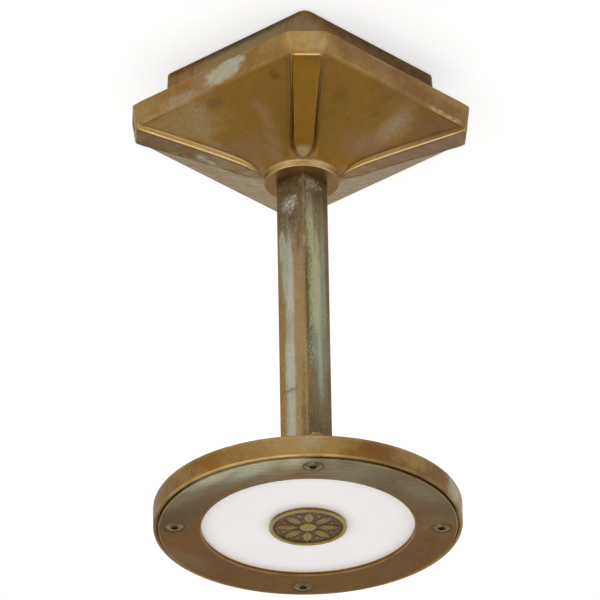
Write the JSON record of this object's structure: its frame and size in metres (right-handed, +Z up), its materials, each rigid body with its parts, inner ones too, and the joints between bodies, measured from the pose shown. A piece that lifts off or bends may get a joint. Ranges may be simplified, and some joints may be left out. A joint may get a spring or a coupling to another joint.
{
  "type": "outdoor ceiling light",
  "caption": "Square flared ceiling canopy with ribbed corners, a square stem and a round flat head with a bezel, an opal light window and a round medallion, in aged brass.",
  "frame": {"origin": "on the ceiling plane, at the middle of the pattern of ceiling screws, which is the light's own axis", "axes": "+Z up into the ceiling along the stem's axis; +X through both ceiling screw slots; the canopy's sides are square to X and Y, so its ribs and the head's screws lie on the diagonals"},
  "size_m": [0.16, 0.16, 0.2693],
  "materials": {
    "foam": "closed-cell foam, matt",
    "box_brass": "cast, aged brown with grey-green mottles, satin",
    "canopy_brass": "cast, aged olive-brown with rubbed edges, satin",
    "stem_brass": "drawn tube, pale verdigris over brown",
    "pan_brass": "turned casting, aged, rubbed edges",
    "bezel_brass": "turned, aged pale grey-green to brown",
    "screw_brass": "turned, aged brown",
    "medallion_brass": "struck, aged olive gold, dark recesses",
    "turned_brass": "turned, plain",
    "zinc_steel": "zinc plated, satin",
    "tinned_copper": "tinned, satin",
    "seal_rubber": "moulded, matt",
    "silicone": "moulded, translucent, matt",
    "heat_pad": "cut sheet, matt",
    "bond_pad": "cut foam tape, matt",
    "porcelain": "glazed",
    "driver_case": "moulded, fine grain",
    "lead_pvc": "extruded, satin",
    "earth_pvc": "extruded, satin",
    "sheath_pvc": "extruded, satin",
    "fine_lead_pvc": "extruded, satin",
    "board_white": "white solder mask, satin",
    "led_phosphor": "phosphor dome, gloss",
    "nylon": "moulded, natural",
    "opal": "opal acrylic, satin, lets light through"
  },
  "bodies": {
    "root": {"ceiling_foam": "foam", "ceiling_box": "box_brass", "cable_grommet": "seal_rubber", "terminal_block": "porcelain", "terminal_screws": "turned_brass", "driver": "driver_case", "driver_screws": "zinc_steel", "earth_tag": "tinned_copper", "earth_screw": "turned_brass", "supply_leads": "lead_pvc", "earth_lead": "earth_pvc", "mounting_plate": "zinc_steel", "plate_screws": "zinc_steel", "plate_edging": "seal_rubber", "canopy": "canopy_brass", "canopy_screws": "screw_brass", "top_nut": "turned_brass", "top_washer": "zinc_steel", "top_nipple": "turned_brass", "top_plug": "turned_brass", "top_seal": "seal_rubber", "stem_tube": "stem_brass", "bottom_plug": "turned_brass", "bottom_nipple": "turned_brass", "bottom_seal": "seal_rubber", "bottom_washer": "zinc_steel", "bottom_nut": "turned_brass", "stem_lead": "sheath_pvc", "pan": "pan_brass", "heat_pad": "heat_pad", "led_board": "board_white", "leds": "led_phosphor", "board_screws": "zinc_steel", "board_connector": "nylon", "board_leads": "fine_lead_pvc", "opal_seal": "silicone", "opal_disc": "opal", "bezel_ring": "bezel_brass", "bezel_screws": "screw_brass", "medallion_pad": "bond_pad", "medallion": "medallion_brass"}
  },
  "joints": []
}
